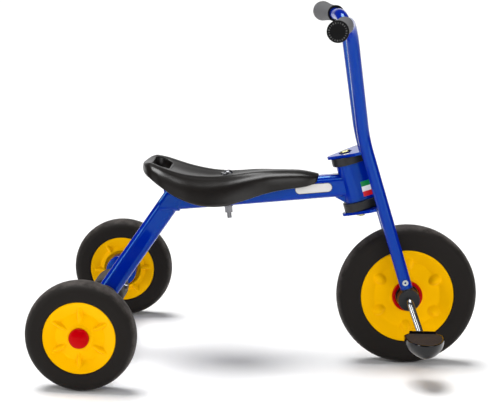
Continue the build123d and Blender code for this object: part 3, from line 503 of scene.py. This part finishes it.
BARS, BAR_RING = 22, 14.2
for side in ("right", "left"):
    start, way, long = long_axis(f"grip_{side}")
    end = long / MM
    place = axle_place(start, way, 90)
    body = rounded([(15.2, 5), (14.7, 12), (14.5, 30), (14.9, 52), (16.4, 78),
                    (18.0, end - 9), (18.3, end - 3)])
    outline = [(11.2, 0), (14.4, 0), (15.2, 0.8)] + body
    outline += [(18.1, end - 1.2), (17.2, end - 0.2), (16, end), (0.01, end), (0.01, end - 3),
                (11.2, end - 3)]
    grip = spun(f"grip_sleeve_{side}", outline, grip_rubber, place, steps=96)
    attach(grip, "fork")
    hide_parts(f"grip_{side}")
    points, faces = [], []
    for k in range(BARS):
        a = k * 2 * math.pi / BARS
        corners = [(BAR_RING + r, t * (1 + 0.6 * (k % 3)))
                   for r, t in ((-1.3, -0.5), (1.3, -0.5), (1.3, 0.5), (-1.3, 0.5))]
        bar = [[(x * math.cos(a) - y * math.sin(a), x * math.sin(a) + y * math.cos(a), z) for x, y in corners]
               for z in (end - 0.2, end + 0.25)]
        more_points, more_faces = stack(bar, len(points))
        points += more_points
        faces += more_faces
    bars = new_piece(f"grip_end_bars_{side}", points, faces, mark_rubber, place=place)
    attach(bars, "fork")
print("grips of", round(end, 1), "mm")

# %% [markdown]
# ## Piece: saddle
# The saddle is one thick plastic shell: dished and wide at the back with drooping sides, and
# narrow and arched at the front, where it straddles the tube. Each station across it has a
# distance ahead of the axle, the edge and the crest as half width and height, and the height in
# the middle. A smooth line through these, then through the stations, gives the top, and a low
# ridge along the crest catches the light. The skin is 4 mm thick with a rolled edge, and a slot
# with a deep wall lets a hand lift it.

# %% Stations along the saddle
STATIONS = [
    (71, 16, 342.5, 9, 347, 348), (73, 27, 341, 15, 348.8, 349.2), (77, 42, 338.5, 26, 350.6, 350.4),
    (83, 57, 336.5, 36, 352.2, 351.4), (90, 68, 334, 43, 352.2, 350.8), (99, 76.5, 329, 48, 350, 347.8),
    (110, 84, 323, 52, 347, 343), (130, 91, 311.5, 52, 341, 335.5), (150, 95, 303, 50, 336, 330),
    (170, 94, 296, 44.5, 333, 327.5), (190, 90, 292, 38, 331.3, 326.5), (208, 83, 290.6, 32, 331.2, 328),
    (225, 74, 291, 26, 332, 330.5), (242, 62.5, 294.5, 21.5, 334, 334), (260, 52, 299, 18, 336.5, 337),
    (280, 43, 305, 15.5, 338.7, 339.8), (300, 36, 310, 14, 340, 341.5), (322, 32, 314.5, 13, 340.8, 342.6),
    (345, 29, 318, 12, 341, 343), (360, 26.3, 320.6, 11.3, 339.8, 341.8), (371, 22.5, 324, 10, 338, 340),
    (378, 17.5, 327.5, 7.5, 336.9, 338.6), (381.6, 11.5, 331, 5, 336.3, 337.6),
]
SKIN = 4.2
RIDGE_HIGH, RIDGE_WIDE = 1.5, 5
EDGE_ROLL = np.radians((30, 60, 90, 120, 150))
axle_x = (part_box("rear_axle")[0][0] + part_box("rear_axle")[1][0]) / 2 / MM


print(len(STATIONS), "stations, ahead of the axle at", round(axle_x, 2), "mm")

# %% Section across the saddle
def station_top(row):
    """The upper line across one station, from the right edge to the left."""
    _, edge, edge_z, crest, crest_z, mid_z = row
    shoulder = (edge + crest) / 2 + 0.12 * (edge - crest)
    shoulder_z = edge_z + 0.72 * (crest_z - edge_z)
    left = [(edge, edge_z), (shoulder, shoulder_z), (crest, crest_z)]
    line = rounded([(-y, z) for y, z in left] + [(0, mid_z)] + left[::-1], 10)
    ridge = RIDGE_HIGH * max(0, min(1, (row[0] - 74) / 12, (310 - row[0]) / 40))
    return [(y, z + ridge * math.exp(-((abs(y) - crest) / RIDGE_WIDE) ** 2)) for y, z in line]


def station_ring(row):
    """The whole closed section at one station: the top, a rolled edge, and the underside."""
    top = np.array(station_top(row))
    way = np.gradient(top, axis=0)
    way /= np.linalg.norm(way, axis=1)[:, None]
    normal = np.stack([-way[:, 1], way[:, 0]], axis=1)
    under = top - normal * SKIN
    ring = [tuple(p) for p in top]
    for end, start in ((top[-1], under[-1]), (under[0], top[0])):
        centre, arm = (end + start) / 2, (end - start) / 2
        turn = np.array([arm[1], -arm[0]])
        arc = [tuple(centre + arm * math.cos(a) + turn * math.sin(a)) for a in EDGE_ROLL]
        if end is top[-1]:
            ring += arc + [tuple(p) for p in under[::-1]]
        else:
            ring += arc
    return ring


print("points across a section:", len(station_ring(STATIONS[0])))

# %% Saddle shell
stations = rounded(STATIONS, 4)
rings = [[(axle_x + row[0], y, z) for y, z in station_ring(row)] for row in stations]
saddle = new_piece("saddle_shell", *stack(rings), seat, sharp=60)
print("saddle shell of", len(saddle.data.polygons), "faces")

# %% Shape of the hand hold
HOLD_AHEAD, HOLD_LONG, HOLD_WIDE, WALL, WALL_LOW = 103.5, 29, 76, 3, 326


def top_at(x, y):
    """Height of the saddle's top at a point, millimetres."""
    row = [float(np.interp(x - axle_x, [s[0] for s in stations], [s[k] for s in stations])) for k in range(6)]
    line = station_top(row)
    return float(np.interp(y, [p[0] for p in line], [p[1] for p in line]))


def stadium(long_y, wide_x, steps=24):
    """Points round a slot with round ends, long across the tricycle."""
    r, reach = wide_x / 2, (long_y - wide_x) / 2
    angles = [math.pi * i / steps for i in range(steps + 1)]
    far = [(r * math.cos(a), reach + r * math.sin(a)) for a in angles]
    return far + [(-x, -y) for x, y in far]


hold_x = axle_x + HOLD_AHEAD
print("saddle top at the hand hold", round(top_at(hold_x, 0), 1), "mm")

# %% Hand hold through the saddle
cut_line = stadium(HOLD_WIDE + WALL, HOLD_LONG + WALL)
n = len(cut_line)
cut_away(saddle, [(hold_x + x, y) for x, y in cut_line], 300, 380)
layers = [(0, -1.8), (0.35, -0.7), (1.1, 0.25), (2.2, 0.45), (3.4, 0.1), (3.4, -3.5)]
lines = []
for out, rise in layers:
    ring = stadium(HOLD_WIDE + 2 * out, HOLD_LONG + 2 * out)
    lines.append([(hold_x + x, y, top_at(hold_x + x, y) + rise) for x, y in ring])
for out in (WALL, 0):
    lines.append([(hold_x + x, y, WALL_LOW) for x, y in stadium(HOLD_WIDE + 2 * out, HOLD_LONG + 2 * out)])
wall = new_piece("hand_hold_wall", [p for line in lines for p in line],
                 grid_faces(len(lines), n, closed_rows=True), seat, sharp=60)
for piece in (saddle, wall):
    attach(piece, "frame")
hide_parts("saddle")
print("saddle", len(saddle.data.polygons), "faces; wall", len(wall.data.polygons))

# %% [markdown]
# ## Piece: saddle bolt head
# The front saddle bolt has a smooth domed head, like a coach bolt's, that shows on top of the
# saddle. It is spun as a thin dome and laid over the measured bolt.

# %% Bolt dome
BOLT_R, DOME_TOP, BOLT_TILT = 8.2, 338.6, 6.83
bolt_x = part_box("saddle_bolts")[1][0] / MM - 8
dome_line = rounded([(BOLT_R, 0.6), (7.6, 2.4), (5.6, 4), (3, 4.8), (0.01, 5)], 4)
bolt_place = Matrix.Translation((bolt_x * MM, 0, (DOME_TOP - 5) * MM))
bolt_place = bolt_place @ Matrix.Rotation(math.radians(-BOLT_TILT), 4, "Y")
dome = spun("saddle_bolt_dome", [(0.01, -1), (BOLT_R, -1)] + dome_line, bright_zinc, bolt_place, steps=48)
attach(dome, "frame")
print("bolt head at", round(bolt_x, 1), "mm")

# %% [markdown]
# ## Piece: pedals
# Each pedal is a hollow moulding: flat on top, D-shaped from above, and rounded like half an
# egg beneath, so that it hangs level by its own weight. A rubber tread fills its top, and a lip
# at the inner end keeps the shoe off the wheel. Rings of the D shape, shrunk level by level
# along a quarter circle, give the bowl; a bore is then cut for the pin.

# %% Outline of a pedal
PEDAL_BACK, PEDAL_HALF, PEDAL_INNER, PEDAL_CORNER = 33, 33.5, 25, 14
PEDAL_STRAIGHT, PEDAL_NOSE, PEDAL_MIDDLE = 30, 54, 42
PEDAL_TOP, PEDAL_RIM, PEDAL_WAIST, BOWL_DEEP = 9, 2.6, 5, 25
LIP_HALF, LIP_HIGH, TREAD_LOW, PIN_R, PIN_DEEP = 23, 4, 7.4, 6.4, 62


def pedal_ring(z, shrink=0.0, narrow=1.0, shorten=1.0):
    """The D outline at a height, pulled in by shrink and scaled across and along."""
    nose = [(PEDAL_NOSE * math.cos(a), PEDAL_HALF * math.sin(a)) for a in np.radians(np.arange(-90, 91, 5))]
    half_corner = (PEDAL_CORNER / 2, -(PEDAL_INNER + PEDAL_HALF) / 2)
    ring = [(0, -PEDAL_INNER), half_corner, (PEDAL_CORNER, -PEDAL_HALF)]
    ring += [(PEDAL_STRAIGHT + x, y) for x, y in nose]
    ring += [(x, -y) for x, y in ring[2::-1]]
    tight_x, tight_y = 1 - shrink / PEDAL_MIDDLE, 1 - shrink / PEDAL_HALF
    ring = [(PEDAL_MIDDLE + (x - PEDAL_MIDDLE) * tight_x, y * tight_y * narrow) for x, y in ring]
    return [(min(x, PEDAL_STRAIGHT) + max(0, x - PEDAL_STRAIGHT) * shorten, y, z) for x, y in ring]


print("pedals of", PEDAL_STRAIGHT + PEDAL_NOSE, "mm")

# %% Where the pedals go
pedal_places = {}
for side, sign in (("right", -1), ("left", 1)):
    pivot = joints[f"pedal_{side}_spin"]
    out = Vector(pivot["axis"]).normalized() * sign
    level = (Vector((0, 0, 1)) - out * out.z).normalized()
    start = Vector(pivot["pos_m"]) - out * (PEDAL_BACK * MM)
    turned = Matrix((out, level.cross(out), level)).transposed().to_4x4()
    pedal_places[side] = Matrix.Translation(start) @ turned
print("pedals start at", [[round(v, 3) for v in place.translation] for place in pedal_places.values()])

# %% Rings of the bowl and the tread
TREAD_GAP = 0.25
bowl = [pedal_ring(PEDAL_WAIST - BOWL_DEEP * math.sin(a), 0, math.cos(a) ** 0.85, math.cos(a) ** 0.3)
        for a in np.radians(np.arange(86, -1, -6))]
bowl += [pedal_ring(z, shrink) for z, shrink in (
    (8, 0), (8.7, 0.3), (PEDAL_TOP, 1), (PEDAL_TOP, PEDAL_RIM - 0.3), (PEDAL_TOP - 0.3, PEDAL_RIM),
    (TREAD_LOW, PEDAL_RIM),
)]
lip = [[(x, y, z) for x, y in ((0, -LIP_HALF), (PEDAL_RIM, -LIP_HALF), (PEDAL_RIM, LIP_HALF), (0, LIP_HALF))]
       for z in (PEDAL_TOP - 0.5, PEDAL_TOP + LIP_HIGH)]
bowl_points, bowl_faces = stack(bowl)
lip_points, lip_faces = stack(lip, len(bowl_points))
rubber = [pedal_ring(z, PEDAL_RIM + gap) for z, gap in (
    (TREAD_LOW + 0.05, TREAD_GAP), (8.6, TREAD_GAP), (8.9, 0.9),
)]
print(len(bowl), "rings in a bowl,", len(rubber), "in a tread")

# %% Pedals
bore = [(PIN_R * math.cos(a), PIN_R * math.sin(a)) for a in np.radians(np.arange(0, 360, 7.5))]
for side, place in pedal_places.items():
    shell = new_piece(f"pedal_shell_{side}", bowl_points + lip_points, bowl_faces + lip_faces, gloss_black,
                      place=place, sharp=35)
    cut_away(shell, bore, -2, PIN_DEEP, place @ Matrix.Rotation(math.radians(90), 4, "Y"), sharp=35)
    tread = new_piece(f"pedal_rubber_{side}", *stack(rubber), tread_rubber, place=place)
    for piece, slot, node in ((shell, "black_plastic", "pedal_body"), (tread, "tread_rubber", "pedal_tread")):
        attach(piece, f"pedal_{side}")
        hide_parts(f"{node}_{side}")
print("pedals of", len(shell.data.polygons), "and", len(tread.data.polygons), "faces")

# %% [markdown]
# ## Piece: badge lines and the colour bars
# The main tube carries a blank oval badge with a fine black line round it, and the steering
# head carries a small film with three plain colour bars. Both are printed films, so each is a
# thin plate laid on the measured surface.

# %% Badge lines
BADGE_TALL, LINE = 17, 0.9
low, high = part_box("name_badges")
centre = (Vector(low) + Vector(high)) / 2
wide, tall = (high[0] - low[0]) / MM, (high[2] - low[2]) / MM
slope = math.atan2(tall - BADGE_TALL, wide - BADGE_TALL)
long = (wide - BADGE_TALL) / math.cos(slope) + BADGE_TALL
for side, sign in (("right", -1), ("left", 1)):
    face = Vector((centre.x, sign * high[1], centre.z))
    place = axle_place(face, (0, sign, 0), math.degrees(slope))
    rows = []
    for shrink, z in ((0, -0.3), (0, 0.12), (LINE, 0.12), (LINE, -0.3)):
        rows.append([(y, -sign * x, z) for x, y in stadium(long - 2 * shrink, BADGE_TALL - 2 * shrink)])
    border = new_piece(f"badge_line_{side}", [p for row in rows for p in row],
                       grid_faces(4, n, closed_rows=True), ink, place=place)
    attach(border, "frame")
print("badge", round(long, 1), "mm long, sloping", round(math.degrees(slope), 2), "degrees")

# %% Side of the steering head
HEAD_R, NOSE_R, NOSE_AT = 22, 16, 23
FILM_BACK, FILM_FRONT, FILM_LOW, FILM_HIGH, PROUD = 13, 30, 193.5, 220.5, 0.3
steering = joints["steering"]
head_up = Vector(steering["axis"]).normalized()
head_place = Matrix.Translation(steering["pos_m"]) @ Matrix(
    (Vector((0, 1, 0)).cross(head_up), (0, 1, 0), head_up)).transposed().to_4x4()
lean = math.asin((HEAD_R - NOSE_R) / NOSE_AT)


def shell_side(x, proud):
    """Distance of the head's skin from its middle plane, at x ahead of the steering axis."""
    if x < NOSE_AT + NOSE_R * math.sin(lean):
        return (HEAD_R + proud - x * math.sin(lean)) / math.cos(lean)
    return math.sqrt((NOSE_R + proud) ** 2 - (x - NOSE_AT) ** 2)


print("the head leans its sides in by", round(math.degrees(lean), 1), "degrees")

# %% Colour bars on the steering head
BARS_DOWN = (("green", "#00893F"), ("white", "#F2F2F0"), ("red", "#D8101C"))
step = (FILM_HIGH - FILM_LOW) / len(BARS_DOWN)
across = np.linspace(FILM_BACK, FILM_FRONT, 12)
for row, (colour, paint) in enumerate(BARS_DOWN):
    bar_film, tree, shader = new_material(f"{colour} printed film", paint, 0.3, IOR=1.4)
    bumped(tree, shader, grain(tree, 6, 1.0), 0.01)
    for side, sign in (("right", -1), ("left", 1)):
        high = FILM_HIGH - row * step
        corners = ((-0.2, high - step), (PROUD, high - step), (PROUD, high), (-0.2, high))
        points = [(x, sign * shell_side(x, proud), z) for proud, z in corners for x in across]
        faces = grid_faces(4, len(across), closed_rows=True, closed_columns=False)
        faces += [tuple(k * len(across) + end for k in range(4)) for end in (0, len(across) - 1)]
        bar = new_piece(f"{colour}_bar_{side}", points, faces, bar_film, place=head_place)
        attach(bar, "frame")
print("colour bars", [colour for colour, _ in BARS_DOWN])

# %% [markdown]
# ## Floor
# A plain white floor takes the soft shadows. It is wide, so that it fills the view from a
# low angle, and white enough that only the shadows show on it.

# %% Floor
floor_paper, tree, shader = new_material("white paper floor", "#FAFAFA", 0.9, IOR=1.3)
FLOOR = 14000
floor = new_piece("floor", [(-FLOOR, -FLOOR, 0), (FLOOR, -FLOOR, 0), (FLOOR, FLOOR, 0), (-FLOOR, FLOOR, 0)],
                  [(0, 1, 2, 3)], floor_paper)
print("floor", 2 * FLOOR * MM, "m square")

# %% [markdown]
# ## Light
# A broad light almost overhead, a little behind and to the left, makes the short soft shadows
# and the white line along the main tube. A tall soft box to the left and a broad one to the
# right draw the long bright lines on the round tubes, and a high one behind the viewer fills the
# faces towards the viewer. The room is pale only straight behind the tricycle, where the flat
# crown plate mirrors it, and dark elsewhere, so the paint keeps its depth. The viewer sees a
# white room whichever way the camera turns.

# %% Lights
LIGHT_AIM = (0, 0, 0.35)
SUN_SPREAD, SUN_TILT = 36, (-8, -12, 0)


def softbox(name, at, width, height, watts):
    """A flat lamp of that size in metres, facing the middle of the tricycle."""
    light = bpy.data.lights.new(name, "AREA")
    light.shape = "RECTANGLE"
    light.size, light.size_y, light.energy = width, height, watts
    lamp = bpy.data.objects.new(name, light)
    lamp.location = at
    lamp.rotation_euler = (Vector(at) - Vector(LIGHT_AIM)).to_track_quat("Z", "Y").to_euler()
    bpy.context.scene.collection.objects.link(lamp)


sky = bpy.data.lights.new("overhead", "SUN")
sky.energy, sky.angle = 3.5, math.radians(SUN_SPREAD)
sky_lamp = bpy.data.objects.new("overhead", sky)
sky_lamp.rotation_euler = [math.radians(v) for v in SUN_TILT]
bpy.context.scene.collection.objects.link(sky_lamp)
softbox("left strip", (-2.6, -1.6, 1.0), 0.6, 1.8, 30)
softbox("right box", (2.4, -2.1, 1.2), 2.4, 1.9, 36)
softbox("high front box", (0.1, -3.0, 2.4), 1.8, 0.9, 22)

# %% Room
world = bpy.data.worlds.new("studio")
world.use_nodes = True
tree = world.node_tree
way = add_node(tree, "ShaderNodeTexCoord").outputs["Generated"]
depth = add_node(tree, "ShaderNodeSeparateXYZ", links={0: way}).outputs["Y"]
pale = add_node(tree, "ShaderNodeMapRange",
                {"From Min": 0.8, "From Max": 0.95, "To Min": 0.06, "To Max": 1.0}, {"Value": depth})
tree.nodes["Background"].inputs["Color"].default_value = linear("#FFFFFF")
seen = add_node(tree, "ShaderNodeLightPath").outputs["Is Camera Ray"]
shown = add_node(tree, "ShaderNodeMath", {"operation": "MAXIMUM"}, {0: pale.outputs[0], 1: seen}).outputs[0]
tree.links.new(shown, tree.nodes["Background"].inputs["Strength"])
bpy.context.scene.world = world
bpy.context.scene.view_settings.view_transform = "Standard"
print("room", world.name)

# %% [markdown]
# ## Camera
# The camera looks from the rider's right, slightly ahead and above, through a long lens, so
# the wheels stay round. It is placed by angle and distance from a point near the middle.

# %% Camera
AZIMUTH, ELEVATION, ROLL, DISTANCE, LENS = 4.109, 11.644, 1.253, 3.06115, 123.95
aim = middle + Vector((-0.0262, 0, -0.0327))
a, e, r = (math.radians(v) for v in (AZIMUTH, ELEVATION, ROLL))
back = Vector((math.sin(a) * math.cos(e), -math.cos(a) * math.cos(e), math.sin(e)))
level = Vector((math.cos(a), math.sin(a), 0))
rise = back.cross(level)
right = level * math.cos(r) + rise * math.sin(r)
up = rise * math.cos(r) - level * math.sin(r)
lens = bpy.data.cameras.new("camera")
lens.lens = LENS
camera = bpy.data.objects.new("camera", lens)
turned = Matrix((right, up, back)).transposed().to_4x4()
camera.matrix_world = Matrix.Translation(aim + back * DISTANCE) @ turned
bpy.context.scene.collection.objects.link(camera)
bpy.context.scene.camera = camera
print("camera at", [round(v, 3) for v in camera.matrix_world.translation])
